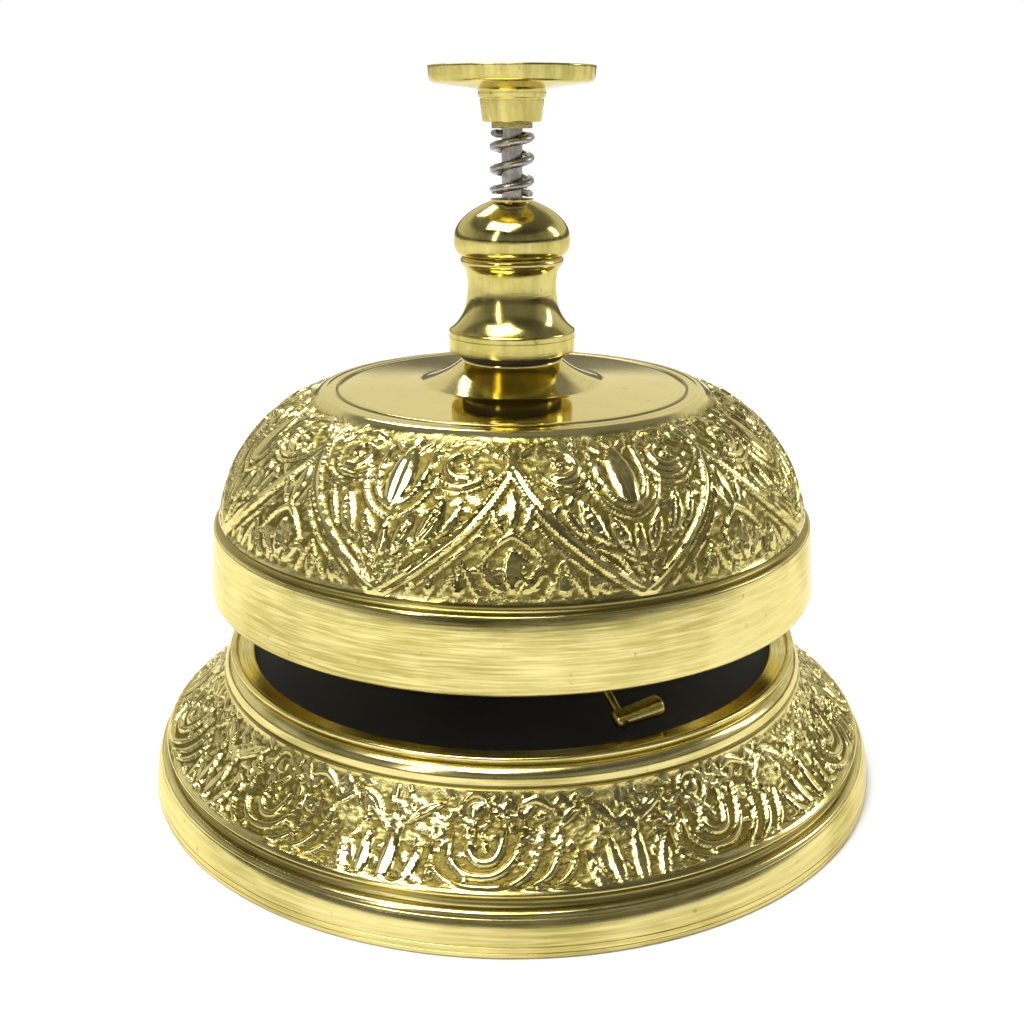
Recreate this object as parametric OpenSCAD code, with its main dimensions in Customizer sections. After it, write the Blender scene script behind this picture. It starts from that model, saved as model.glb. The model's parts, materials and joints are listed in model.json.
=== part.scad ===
// Counter call bell: a cast brass cup on a flared brass base. Pressing the knob
// slides a rod down through the post and rocks a lever, and the lever swings a
// small hammer up against the inside of the cup's rim. The plunger spring and
// the hammer's own weight bring both back.
//
// Millimetres. +Z is up, the origin is the centre of the base's underside and
// -Y is the front. The bridge, lever and hammer are drawn in a swing frame: its
// x axis points out along the hammer and its y axis is the pivot's direction.

/* [Base] */
// Radius of the base where it meets the table
base_r = 45; // [45:0.5:48]
// Height of the rounded crest round the ledge
base_h = 16.5; // [16.5:0.25:18]
// Inner edge of the ledge, which frames the black plate
ledge_inner_r = 32.25; // [32:0.05:32.4]
// Thickness of the black plate
plate_t = 1.6; // [1.4:0.1:1.8]

/* [Cup] */
// Radius of the cup at its bottom lip
cup_r = 36.7; // [36.6:0.1:37.4]
// Inside radius of the cup's straight wall
cup_inner_r = 33.65; // [33.6:0.05:34]
// Height of the cup's bottom lip above the table
cup_rim_z = 23.9; // [23.4:0.1:24]
// Radius of the polished plateau on top of the cup
plateau_r = 22.2; // [20:0.1:22.4]

/* [Finial] */
// Radius of the finial's collar
collar_r = 7.45; // [7:0.05:8]
// Widest radius of the finial's ball
ball_r = 6.75; // [6.3:0.05:7]
// Radius of the finial's waist
waist_r = 5.2; // [4.6:0.05:5.4]

/* [Plunger] */
// Radius of the knob
knob_r = 9.4; // [8:0.1:12]
// Radius of the plunger rod
rod_r = 1.2; // [1.1:0.05:1.3]
// Travel of the plunger
travel = 4; // [3:0.25:4]
// Wire diameter of the plunger spring
spring_wire_d = 0.95; // [0.8:0.05:1]
// Turns in the plunger spring between its end turns
spring_turns = 2.5; // [2:0.25:3]

/* [Hammer] */
// Direction of the hammer about +Z, from +X
hammer_azimuth = -67.5; // [-180:0.5:180]
// Distance of the pivot pin from the bell's axis
pivot_x = 10.5; // [10:0.1:10.8]
// Height of the pivot pin
pivot_z = 25.5; // [25.3:0.1:25.8]
// Slope of the hammer at rest, below the horizontal
rest_tilt = 22; // [21:0.5:23]
// Distance from the pivot to the hammer head
arm_l = 21.6; // [20.5:0.1:21.6]
// Radius of the hammer head
head_r = 1.3; // [1:0.05:1.3]
// Length of the hammer head
head_l = 6.2; // [4:0.1:6.4]

/* [Hidden] */
$fn = 96;

// Running clearance round the rod and the pivot pin, and round a fixed pin.
run_gap = 0.06;
fixed_gap = 0.02;
arc_steps = 14;

// Base heights, measured down from the crest.
ledge_z = base_h - 0.6;
plate_top = base_h - 1.5;
plate_bottom = plate_top - plate_t;
plate_r = ledge_inner_r - 0.1;
shelf_inner_r = 27.5;
shelf_t = 2;
shelf_bottom = plate_bottom - shelf_t;
plate_screw_r = 1.2;
plate_screw_pitch_r = 29.9;
plate_screw_bite = plate_t - 0.4;

// Cup heights. The dome's outline is one circle, and so is its inside.
band_top_z = 32.2;
dome_start_z = 33.2;
dome_centre = [18.4, 30.6];
dome_r = 17.1;
plateau_z = 47.4;
boss_foot_r = 10.5;
boss_foot_z = 48.1;
boss_top_r = 6;
boss_top_z = 50.8;
cup_ceiling_z = 44.8;

// Stack on the post, from the bridge up to the finial.
post_r = 3;
post_bore_r = rod_r + run_gap;
bridge_top_z = 38.2;
post_shoulder_r = 4.6;
post_shoulder_h = 1.6;
lower_washer_t = 1;
cup_nut_t = 2.4;
post_nut_t = 2.4;
collar_z = boss_top_z + 0.8;
neck_z = 69;
neck_r = 2.5;
post_top_z = 60;

// Bridge: a bent strip that stands on the plate and carries post and pivot.
strip_t = 1.2;
bridge_half_w = 8;
foot_out = 14.5;
bend_r = 2;
bridge_back_x = -5;
bridge_top_x = 5;
bridge_foot_x = 9;
bridge_nose_x = 13.5;
bridge_screw_x = 2;
bridge_screw_y = 11.5;

// Plunger. The rod's domed tip rests just above the lever.
lever_t = 1.5;
tip_gap = 0.1;
tip_z = pivot_z + (tip_gap + lever_t / 2 + rod_r + pivot_x * sin(rest_tilt)) / cos(rest_tilt);
spring_end_turns = 0.5;
spring_spare = 0.375;
spring_solid_h = (spring_turns + 2 * spring_end_turns) * spring_wire_d + spring_spare;
spring_top_z = neck_z + travel + spring_solid_h;
hub_z = spring_top_z + 0.7;
rod_top_z = hub_z + 2.9;
knob_top_z = hub_z + 6;
clip_t = 0.6;
post_bottom_z = bridge_top_z - strip_t - post_nut_t - 0.3;
rod_clip_z = post_bottom_z - 0.1 - clip_t;
rod_groove_r = rod_r - 0.3;
spring_mid_r = 2.1;
spring_washer_r = 2.3;

// Hammer, in the lever's own frame: x' runs out along the lever.
pin_r = 1;
boss_half_w = 6.4;
wire_r = 0.6;
head_skew = 8;
head_overhang = 1;

function arc(centre, r, from, to, steps = arc_steps) =
    [for (i = [0:steps]) let (a = from + (to - from) * i / steps) centre + r * [cos(a), sin(a)]];

// Points of a quadratic curve from a to c, pulled towards b.
function bend(a, b, c, steps = arc_steps) =
    [for (i = [0:steps]) let (t = i / steps) (1 - t) * (1 - t) * a + 2 * t * (1 - t) * b + t * t * c];

module turned(points) rotate_extrude() polygon(points);

module ring(outer, inner, z0, z1) {
    translate([0, 0, z0]) difference() {
        cylinder(r = outer, h = z1 - z0);
        translate([0, 0, -1]) cylinder(r = inner, h = z1 - z0 + 2);
    }
}

module hex_nut(across, inner, z0, t) {
    translate([0, 0, z0]) difference() {
        cylinder(r = across / sqrt(3), h = t, $fn = 6);
        translate([0, 0, -1]) cylinder(r = inner, h = t + 2);
    }
}

// Pan-head screw along +Z: the head hangs below z = 0 and the shank rises.
module pan_screw(shank_r, shank_l, head_radius, head_h) {
    slot_w = 0.6;
    difference() {
        turned([[0, -head_h], [head_radius * 0.7, -head_h], [head_radius, -head_h * 0.45],
                [head_radius, 0], [shank_r, 0], [shank_r, shank_l - 0.3], [shank_r - 0.3, shank_l],
                [0, shank_l]]);
        translate([-head_radius - 1, -slot_w / 2, -head_h - 1])
            cube([2 * head_radius + 2, slot_w, 1 + head_h * 0.4]);
    }
}

// Open retaining ring for a groove.
module spring_clip(outer, inner) {
    difference() {
        cylinder(r = outer, h = clip_t);
        translate([0, 0, -1]) cylinder(r = inner, h = clip_t + 2);
        translate([0, -inner * 0.8, -1]) cube([outer + 1, inner * 1.6, clip_t + 2]);
    }
}

module swing_frame() rotate([0, 0, hammer_azimuth]) children();
module lever_frame() swing_frame() translate([pivot_x, 0, pivot_z]) rotate([0, rest_tilt, 0]) children();

// ---- stand: base, plate, bridge, post, cup and finial ----

module base() {
    foot_in = 3.5;
    cove_r = base_r - 2;
    flare_top_r = 36;
    flare_top_z = base_h - 3.2;
    flare_pull = [base_r - 5.6, 8.6];
    hollow_r = [33, 36.5];
    hollow_z = [3, 7.6];
    crest_r = 35.1;
    color("goldenrod") difference() {
        turned(concat(
            [[base_r - foot_in, 0], [base_r - 0.3, 0]],
            bend([base_r, 0.3], [base_r - 0.3, 2.8], [base_r - 1.05, 4.6]),
            [[cove_r + 0.05, 4.8], [cove_r, 5.5], [cove_r + 0.4, 5.9], [cove_r + 0.1, 6.3]],
            bend([cove_r, 6.4], flare_pull, [flare_top_r, flare_top_z]),
            [[flare_top_r - 0.5, flare_top_z + 0.15]],
            bend([flare_top_r - 0.2, flare_top_z + 0.5], [flare_top_r - 0.3, base_h - 1.6],
                 [crest_r - 0.3, base_h - 1]),
            [[crest_r - 0.5, base_h - 0.85]],
            bend([crest_r, base_h - 0.6], [crest_r, base_h], [crest_r - 0.4, base_h], 5),
            [[crest_r - 0.8, base_h - 0.2], [crest_r - 1, ledge_z], [ledge_inner_r, ledge_z],
             [ledge_inner_r, plate_bottom], [shelf_inner_r, plate_bottom],
             [shelf_inner_r, shelf_bottom], [hollow_r[0], shelf_bottom], [hollow_r[1], hollow_z[1]],
             [base_r - foot_in - 1, hollow_z[0]]]));
        plate_screw_places() cylinder(r = plate_screw_r + fixed_gap, h = shelf_t + 2, center = true);
    }
}

module plate_screw_places() {
    for (a = [90, 210, 330])
        rotate([0, 0, a]) translate([plate_screw_pitch_r, 0, shelf_bottom]) children();
}

module bridge_screw_places() {
    swing_frame() for (side = [-1, 1])
        translate([bridge_screw_x, side * bridge_screw_y, 0]) children();
}

module base_plate() {
    color("black") difference() {
        translate([0, 0, plate_bottom]) cylinder(r = plate_r, h = plate_t);
        bridge_screw_places() cylinder(r = plate_screw_r + fixed_gap, h = base_h * 3, center = true);
        plate_screw_places() cylinder(r = plate_screw_r + fixed_gap, h = shelf_t + plate_screw_bite);
    }
}

module plate_screws() {
    color("silver") plate_screw_places()
        pan_screw(plate_screw_r, shelf_t + plate_screw_bite - 0.1, 2.3, 1.5);
}

// Outline of the bent strip, seen along the hammer's direction.
module bridge_section() {
    h = bridge_top_z - plate_top;
    difference() {
        union() {
            translate([-bridge_half_w, 0]) square([2 * bridge_half_w, h - bend_r]);
            translate([-bridge_half_w + bend_r, 0]) square([2 * (bridge_half_w - bend_r), h]);
            for (side = [-1, 1]) translate([side * (bridge_half_w - bend_r), h - bend_r]) circle(r = bend_r);
            translate([-foot_out, 0]) square([2 * foot_out, strip_t]);
        }
        translate([-bridge_half_w + strip_t, -1]) square([2 * (bridge_half_w - strip_t), h - strip_t + 1]);
    }
}

module bridge() {
    color("silver") swing_frame() translate([0, 0, plate_top]) difference() {
        intersection() {
            translate([bridge_back_x, 0, 0]) rotate([90, 0, 90])
                linear_extrude(bridge_nose_x - bridge_back_x) bridge_section();
            rotate([90, 0, 0]) linear_extrude(2 * foot_out + 2, center = true) polygon([
                [bridge_back_x, -1], [bridge_foot_x, -1], [bridge_foot_x, 3],
                [bridge_nose_x, pivot_z - plate_top - 3], [bridge_nose_x, pivot_z - plate_top + 3],
                [bridge_top_x, bridge_top_z - plate_top - 4], [bridge_top_x, bridge_top_z - plate_top + 1],
                [bridge_back_x, bridge_top_z - plate_top + 1]]);
        }
        cylinder(r = post_r + fixed_gap, h = bridge_top_z);
        translate([pivot_x, 0, pivot_z - plate_top]) rotate([90, 0, 0])
            cylinder(r = pin_r + fixed_gap, h = 4 * bridge_half_w, center = true);
        for (side = [-1, 1]) translate([bridge_screw_x, side * bridge_screw_y, -1])
            cylinder(r = plate_screw_r + fixed_gap, h = strip_t + 2);
    }
}

module bridge_screws() {
    color("silver") bridge_screw_places() translate([0, 0, plate_top + strip_t])
        rotate([180, 0, 0]) pan_screw(plate_screw_r, strip_t + plate_t + 3, 2.3, 1.5);
}

module bridge_nuts() {
    color("silver") bridge_screw_places()
        hex_nut(5, plate_screw_r + fixed_gap, plate_bottom - 2, 2);
}

module post() {
    color("goldenrod") difference() {
        union() {
            translate([0, 0, post_bottom_z]) cylinder(r = post_r, h = post_top_z - post_bottom_z);
            translate([0, 0, bridge_top_z]) cylinder(r = post_shoulder_r, h = post_shoulder_h);
        }
        cylinder(r = post_bore_r, h = post_top_z + 1);
    }
}

module post_nut() {
    color("silver") hex_nut(10, post_r + fixed_gap, bridge_top_z - strip_t - post_nut_t, post_nut_t);
}

module cup_nut() {
    color("silver")
        hex_nut(10, post_r + fixed_gap, cup_ceiling_z - lower_washer_t - cup_nut_t, cup_nut_t);
}

module lower_washer() {
    color("silver") ring(7, post_r + fixed_gap, cup_ceiling_z - lower_washer_t, cup_ceiling_z);
}

module bell_cup() {
    dome_from = asin((dome_start_z - dome_centre[1]) / dome_r);
    dome_to = acos((plateau_r + 1.2 - dome_centre[0]) / dome_r);
    inner_dome_r = cup_inner_r - dome_centre[0];
    band_top_r = 36;
    cove_r = 35.2;
    inner_from = [post_r + 4.4, cup_ceiling_z];
    groove_r = plateau_r - 1.4;
    color("gold") turned(concat(
        [[cup_inner_r + 0.4, cup_rim_z], [cup_r - 0.5, cup_rim_z]],
        bend([cup_r - 0.2, cup_rim_z + 0.1], [cup_r, cup_rim_z + 0.3], [cup_r, cup_rim_z + 0.8], 4),
        [[band_top_r, band_top_z - 0.3], [band_top_r - 0.15, band_top_z], [cove_r, band_top_z + 0.35],
         [cove_r, dome_start_z - 0.2]],
        arc(dome_centre, dome_r, dome_from, dome_to, 20),
        [[plateau_r + 0.2, plateau_z - 0.1], [plateau_r, plateau_z]],
        [[groove_r + 0.15, plateau_z], [groove_r, plateau_z - 0.15], [groove_r - 0.15, plateau_z]],
        bend([groove_r - 0.8, plateau_z], [15, plateau_z + 0.35], [boss_foot_r, boss_foot_z], 6),
        bend([boss_foot_r, boss_foot_z], [boss_top_r + 0.6, boss_foot_z + 0.2], [boss_top_r, boss_top_z], 8),
        [[post_r + run_gap, boss_top_z], [post_r + run_gap, cup_ceiling_z], inner_from],
        arc([dome_centre[0], cup_ceiling_z - inner_dome_r], inner_dome_r, 90, 0, 16),
        [[cup_inner_r, cup_rim_z + 0.4]]));
}

module upper_washer() {
    color("black") ring(boss_top_r + 0.1, post_r + fixed_gap, boss_top_z, collar_z);
}

module finial() {
    color("gold") difference() {
        turned(concat(
            [[0, collar_z], [collar_r - 0.3, collar_z]],
            [[collar_r, collar_z + 0.3], [collar_r, collar_z + 1.6]],
            [[collar_r - 0.15, collar_z + 1.75], [collar_r, collar_z + 1.95]],
            bend([collar_r, collar_z + 2.2], [collar_r, collar_z + 2.7], [collar_r - 0.5, collar_z + 2.9], 4),
            bend([collar_r - 0.55, collar_z + 3], [waist_r, collar_z + 4.6], [waist_r, collar_z + 7.6]),
            bend([waist_r, collar_z + 7.6], [waist_r, collar_z + 9.2], [waist_r + 0.5, collar_z + 9.9], 6),
            bend([waist_r + 0.7, collar_z + 10], [waist_r + 1.05, collar_z + 10.4],
                 [waist_r + 0.7, collar_z + 10.8], 6),
            [[waist_r + 0.45, collar_z + 10.9]],
            bend([waist_r + 0.7, collar_z + 11], [ball_r, collar_z + 11.2], [ball_r, collar_z + 12.8], 8),
            bend([ball_r, collar_z + 12.8], [ball_r, collar_z + 15.4], [neck_r + 0.3, neck_z - 0.35]),
            [[neck_r, neck_z - 0.25], [neck_r, neck_z - 0.1], [neck_r - 0.1, neck_z], [0, neck_z]]));
        translate([0, 0, collar_z - 1]) cylinder(r = post_r + fixed_gap, h = post_top_z - collar_z + 1.5);
        cylinder(r = post_bore_r, h = neck_z + 1);
    }
}

module pivot_pin() {
    color("silver") swing_frame() translate([pivot_x, 0, pivot_z]) rotate([90, 0, 0]) difference() {
        union() {
            translate([0, 0, -bridge_half_w]) cylinder(r = pin_r, h = 2 * bridge_half_w + 1.4);
            translate([0, 0, -bridge_half_w - 1]) cylinder(r = 1.9, h = 1);
        }
        ring(pin_r + 1, pin_r - 0.3, bridge_half_w, bridge_half_w + clip_t);
    }
}

module pin_clip() {
    color("dimgray") swing_frame() translate([pivot_x, -bridge_half_w, pivot_z])
        rotate([90, 0, 0]) spring_clip(2.2, pin_r - 0.3 + fixed_gap);
}

// ---- plunger: knob, rod, clip, washer and spring ----

module plunger_rod() {
    color("dimgray") difference() {
        union() {
            translate([0, 0, tip_z]) cylinder(r = rod_r, h = rod_top_z - tip_z);
            translate([0, 0, tip_z]) sphere(r = rod_r);
        }
        ring(rod_r + 1, rod_groove_r, rod_clip_z, rod_clip_z + clip_t);
    }
}

module rod_clip() {
    color("dimgray") translate([0, 0, rod_clip_z]) spring_clip(2.6, rod_groove_r + fixed_gap);
}

module spring_washer() {
    color("goldenrod") ring(spring_washer_r, rod_r + fixed_gap, spring_top_z + fixed_gap, hub_z);
}

// Coil of round wire whose end turns lie flat.
module plunger_spring() {
    sides = 8;
    per_turn = 20;
    wire = spring_wire_d / 2;
    low = neck_z + fixed_gap + wire;
    high = spring_top_z - fixed_gap - wire;
    turns = spring_turns + 2 * spring_end_turns;
    rings = round(turns * per_turn);
    rise = high - low - 2 * spring_end_turns * spring_wire_d;
    heights = [for (i = [0:rings]) let (t = i / per_turn)
        low + spring_wire_d * (min(t, spring_end_turns) + max(0, t - spring_end_turns - spring_turns))
            + rise * min(1, max(0, (t - spring_end_turns) / spring_turns))];
    points = [for (i = [0:rings]) for (k = [0:sides - 1])
        let (a = 360 * i / per_turn, b = 360 * k / sides, r = spring_mid_r + wire * cos(b))
        [r * cos(a), r * sin(a), heights[i] + wire * sin(b)]];
    walls = [for (i = [0:rings - 1]) for (k = [0:sides - 1])
        let (n = (k + 1) % sides)
        [i * sides + k, i * sides + n, (i + 1) * sides + n, (i + 1) * sides + k]];
    caps = [[for (k = [sides - 1:-1:0]) k], [for (k = [0:sides - 1]) rings * sides + k]];
    color("dimgray") polyhedron(points, concat([for (w = walls) [w[0], w[1], w[2]]],
                                               [for (w = walls) [w[0], w[2], w[3]]], caps));
}

module knob() {
    color("gold") difference() {
        turned(concat(
            [[0, hub_z], [3.1, hub_z], [3.3, hub_z + 0.2], [3.55, hub_z + 2.5], [3.65, hub_z + 2.65],
             [3.65, hub_z + 3.3], [3.9, hub_z + 3.5]],
            [[knob_r - 1.1, knob_top_z - 1.85]],
            bend([knob_r - 0.8, knob_top_z - 1.8], [knob_r, knob_top_z - 1.4],
                 [knob_r, knob_top_z - 0.6], 5),
            bend([knob_r, knob_top_z - 0.5], [knob_r, knob_top_z - 0.05], [knob_r - 0.6, knob_top_z], 5),
            [[0, knob_top_z + 0.1]]));
        translate([0, 0, hub_z - 1]) cylinder(r = rod_r + fixed_gap, h = rod_top_z - hub_z + 1.2);
    }
}

// ---- hammer: lever, wire arm and head ----

module hammer_lever() {
    color("silver") lever_frame() difference() {
        union() {
            translate([-pivot_x - 3, -2.5, -lever_t / 2]) cube([pivot_x + 3, 5, lever_t]);
            rotate([90, 0, 0]) cylinder(r = 2.1, h = 2 * boss_half_w, center = true);
            rotate([0, 90, 0]) cylinder(r = 1.5, h = 5.5);
        }
        rotate([90, 0, 0]) cylinder(r = pin_r + run_gap, h = 3 * boss_half_w, center = true);
        translate([2.4, 0, 0]) rotate([0, 90, 0]) cylinder(r = wire_r + fixed_gap, h = 5);
    }
}

module hammer_arm() {
    color("gold") lever_frame() translate([2.5, 0, 0])
        rotate([0, 90, 0]) cylinder(r = wire_r, h = arm_l + head_r - 0.4 - 2.5);
}

// The head is a short bar across the arm's end, drilled for the arm and turned
// a little to follow the cup's wall.
module hammer_head() {
    edge = 0.25;
    color("gold") lever_frame() translate([arm_l, 0, 0]) difference() {
        rotate([0, 0, head_skew]) translate([0, -head_overhang, 0]) rotate([-90, 0, 0])
            turned([[0, 0], [head_r - edge, 0], [head_r, edge], [head_r, head_l - edge],
                    [head_r - edge, head_l], [0, head_l]]);
        translate([-2 * head_r, 0, 0]) rotate([0, 90, 0]) cylinder(r = wire_r + fixed_gap, h = 4 * head_r);
    }
}

base();
base_plate();
plate_screws();
bridge();
bridge_screws();
bridge_nuts();
post();
post_nut();
cup_nut();
lower_washer();
bell_cup();
upper_washer();
finial();
pivot_pin();
pin_clip();
plunger_rod();
rod_clip();
spring_washer();
plunger_spring();
knob();
hammer_lever();
hammer_arm();
hammer_head();
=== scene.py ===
"""Looks for the counter call bell: embossed cast brass, turned brass, dark steel and black paint.

Every length is in millimetres until it reaches a mesh, and MM turns it into metres. Angles are in
degrees. Azimuth 0 is the front (-Y) and grows towards +X.
"""
import json
import math

import bpy
import numpy as np
from mathutils import Matrix, Vector


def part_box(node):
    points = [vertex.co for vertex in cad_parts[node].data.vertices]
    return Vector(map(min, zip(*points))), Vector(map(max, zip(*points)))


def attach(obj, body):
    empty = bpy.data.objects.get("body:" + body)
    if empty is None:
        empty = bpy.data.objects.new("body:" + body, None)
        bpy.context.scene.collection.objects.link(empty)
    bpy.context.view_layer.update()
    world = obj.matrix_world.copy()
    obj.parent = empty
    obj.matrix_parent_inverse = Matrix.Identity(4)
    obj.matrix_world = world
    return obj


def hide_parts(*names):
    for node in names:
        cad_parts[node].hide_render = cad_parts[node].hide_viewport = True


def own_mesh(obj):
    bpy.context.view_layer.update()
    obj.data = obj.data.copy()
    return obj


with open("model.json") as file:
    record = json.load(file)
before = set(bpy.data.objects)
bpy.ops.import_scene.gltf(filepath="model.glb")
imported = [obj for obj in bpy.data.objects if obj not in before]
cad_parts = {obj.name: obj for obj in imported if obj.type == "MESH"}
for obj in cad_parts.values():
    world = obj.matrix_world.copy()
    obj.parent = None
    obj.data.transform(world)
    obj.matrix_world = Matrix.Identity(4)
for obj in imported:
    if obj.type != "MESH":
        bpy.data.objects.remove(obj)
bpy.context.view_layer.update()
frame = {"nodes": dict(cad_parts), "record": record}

MM = 0.001
NODES = frame["nodes"]


def box_mm(node):
    """Lowest and highest corners of a CAD node, in millimetres."""
    low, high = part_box(node)
    return np.array(low) / MM, np.array(high) / MM


# ---------------------------------------------------------------- sizes from the frame

CUP_LOW, CUP_HIGH = box_mm("bell_cup")
BASE_HIGH = box_mm("base")[1]
FINIAL_LOW, FINIAL_HIGH = box_mm("finial")
KNOB_LOW, KNOB_HIGH = box_mm("knob")
WASHER_LOW, WASHER_HIGH = box_mm("upper_washer")
SPRING_LOW, SPRING_HIGH = box_mm("plunger_spring")
PLATE_LOW = box_mm("base_plate")[0]
ROD_HIGH = box_mm("plunger_rod")[1]

CUP_R = CUP_HIGH[0]
CUP_RIM_Z = CUP_LOW[2]
CUP_TOP_Z = CUP_HIGH[2]
BASE_R = BASE_HIGH[0]
BASE_H = BASE_HIGH[2]
ROD_R = ROD_HIGH[0]
POST_BORE_R = 3.06
ARCHES = 8
PLUMES = 10

# The dome's outline is an arc about this point; its embossing follows the arc.
DOME_R = 17.1
DOME_CENTRE = (18.4, CUP_RIM_Z + 6.7)
DOME_FROM, DOME_TO = 8.75, 72.5
DOME_LENGTH = math.radians(DOME_TO - DOME_FROM) * DOME_R

# ---------------------------------------------------------------- outlines


def arc(centre, radius, start, stop, count):
    """Points on a circle of the (r, z) plane."""
    angles = np.radians(np.linspace(start, stop, count))
    return [(centre[0] + radius * math.cos(a), centre[1] + radius * math.sin(a)) for a in angles]


def curve(a, b, c, count):
    """Points on a quadratic curve from a to c, pulled towards b."""
    steps = np.linspace(0, 1, count)[:, None]
    a, b, c = np.array(a), np.array(b), np.array(c)
    return [tuple(p) for p in (1 - steps) ** 2 * a + 2 * steps * (1 - steps) * b + steps**2 * c]


def along(points):
    """Distance along a run of points, from its start."""
    points = np.array(points)
    return np.concatenate([[0], np.cumsum(np.hypot(*np.diff(points, axis=0).T))])


# ---------------------------------------------------------------- relief drawing


STROKE_MARGIN = 1.3  # half widths round a stroke that are worked on
THINNEST = 0.02  # half width at a tapered stroke's tip
FULLY_RAISED = 0.16  # height at which no stippled ground is left


def within(values, run, margin):
    """Indices of the values that lie in the run's range, widened by the margin."""
    return np.where((values > run.min() - margin) & (values < run.max() + margin))[0]


class Relief:
    """A strip of low relief that repeats round a ring, as heights on a grid.

    A stroke is drawn in azimuth degrees from the repeat's middle and in millimetres up the strip.
    Each stroke keeps the higher of what is there and its own cross-section.
    """

    def __init__(self, repeats, columns, rows, length, radii, seed):
        self.period = 360 / repeats
        self.repeats = repeats
        self.columns = columns
        self.azimuth = (np.arange(columns) + 0.5) / columns * self.period - self.period / 2
        self.up = np.linspace(0, length, rows)
        self.radii = np.interp(self.up, np.linspace(0, length, len(radii)), radii)
        self.length = length
        self.height = np.zeros((rows, columns))
        self.random = np.random.default_rng(seed)

    def stroke(self, points, width, height, section="round", taper=None, mirror=True):
        """Draws along a smooth curve through the points."""
        sides = (1, -1) if mirror else (1,)
        for side in sides:
            path = smooth_path([(side * a, v) for a, v in points], self.radii.max())
            for shift in (-self.period, 0, self.period):
                self._draw(path + [shift, 0], width, height, section, taper)

    def _draw(self, path, width, height, section, taper):
        margin = width * STROKE_MARGIN
        cols = within(self.azimuth, path[:, 0], math.degrees(margin / self.radii.min()))
        rows = within(self.up, path[:, 1], margin)
        if not len(cols) or not len(rows):
            return
        radius = self.radii[rows][:, None, None]
        across = np.radians(self.azimuth[cols][None, :, None] - path[:, 0]) * radius
        upward = self.up[rows][:, None, None] - path[:, 1]
        away2 = across**2 + upward**2
        nearest = away2.argmin(axis=2)
        distance = np.sqrt(np.take_along_axis(away2, nearest[:, :, None], 2)[:, :, 0])
        t = nearest / (len(path) - 1)
        local = width * (TAPERS[taper](t) if taper else 1)
        share = np.clip(distance / np.maximum(local, THINNEST), 0, 1)
        lift = height * SECTIONS[section](share, t)
        window = np.ix_(rows, cols)
        self.height[window] = np.maximum(self.height[window], lift)

    def foliage(self, count, low, high, length, width, height):
        """Small curled leaves wherever the ground between low and high is still bare."""
        for _ in range(count):
            azimuth = self.random.uniform(-self.period / 2, self.period / 2)
            v = self.random.uniform(low, high)
            heading = self.random.uniform(0, 2 * math.pi)
            curl = self.random.uniform(-0.9, 0.9)
            long = length * self.random.uniform(0.7, 1.3)
            wide = width * self.random.uniform(0.8, 1.25)
            points = []
            for step in (-0.5, 0, 0.5):
                angle = heading + curl * step
                across = math.degrees(long * step * math.cos(angle) / self.radii.mean())
                upward = float(np.clip(v + long * step * math.sin(angle), 0.1, self.length))
                points.append((azimuth + across, upward))
            column = int((azimuth / self.period + 0.5) * self.columns) % self.columns
            row = int(v / self.length * (len(self.up) - 1))
            if self.height[row, column] < 0.5 * height:
                tall = height * self.random.uniform(0.75, 1.1)
                self.stroke(points, wide, tall, "petal", "leaf", mirror=False)

    def boss(self, azimuth, up, radius, height, mirror=True):
        """A round stud."""
        self.stroke([(azimuth, up), (azimuth + 0.02, up)], radius, height, "round", None, mirror)

    def ring(self, ground, rubbed):
        """Heights for the whole ring, with a stippled ground that never repeats.

        Also how open each point is, from 0 in a recess over 0.5 on the flat to 1 on a crest, and where the
        stippled ground is. The cast brass paints shade into the points of low openness.
        """
        whole = np.roll(np.tile(self.height, (1, self.repeats)), -(self.columns // 2), 1)
        rows, total = whole.shape
        raised = np.clip(whole / FULLY_RAISED, 0, 1)
        grain = stipple(self.random, rows, total)
        soft = slow_noise(self.random, rows, total)
        edge = np.clip(np.minimum(self.up, self.length - self.up) / 0.5, 0, 1)[:, None]
        heights = whole * (1 - rubbed * soft) + ground * grain * (1 - 0.8 * raised)
        heights = heights * edge
        near, far = blurred(heights, 2, 2), blurred(heights, 7, 3)
        # Openness: the height against its blurred surroundings. Low values mark recesses, which get painted
        # shade.
        openness = 0.5 + (heights - far) * 2.2 + (heights - near) * 2.8
        return heights, 0.5 + (np.clip(openness, 0, 1) - 0.5) * edge, (1 - raised) * edge


def smooth_path(points, radius, spacing=0.09):
    """A smooth curve through given points, sampled finely enough that no step shows."""
    points = np.array(points, float)
    padded = np.vstack([2 * points[0] - points[1], points, 2 * points[-1] - points[-2]])
    out = []
    for i in range(1, len(padded) - 2):
        p0, p1, p2, p3 = padded[i - 1 : i + 3]
        span = math.hypot(math.radians(p2[0] - p1[0]) * radius, p2[1] - p1[1])
        t = np.linspace(0, 1, max(2, int(span / spacing)), endpoint=False)[:, None]
        steady, rise = 2 * p1, (p2 - p0) * t
        bend, twist = (2 * p0 - 5 * p1 + 4 * p2 - p3) * t**2, (3 * p1 - p0 - 3 * p2 + p3) * t**3
        out.append(0.5 * (steady + rise + bend + twist))
    return np.vstack(out + [points[-1:]])


def stipple(random, rows, columns):
    """Matting-tool dimples: fine noise, blurred a little and sharpened into pits."""
    noise = random.standard_normal((rows, columns))
    noise = noise + 0.5 * np.roll(noise, 1, 1) + 0.5 * np.roll(noise, -1, 1)
    noise[1:-1] = noise[1:-1] + 0.5 * noise[:-2] + 0.5 * noise[2:]
    noise /= noise.std()
    return np.clip(noise, -1.6, 1.6) / 1.6


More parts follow.
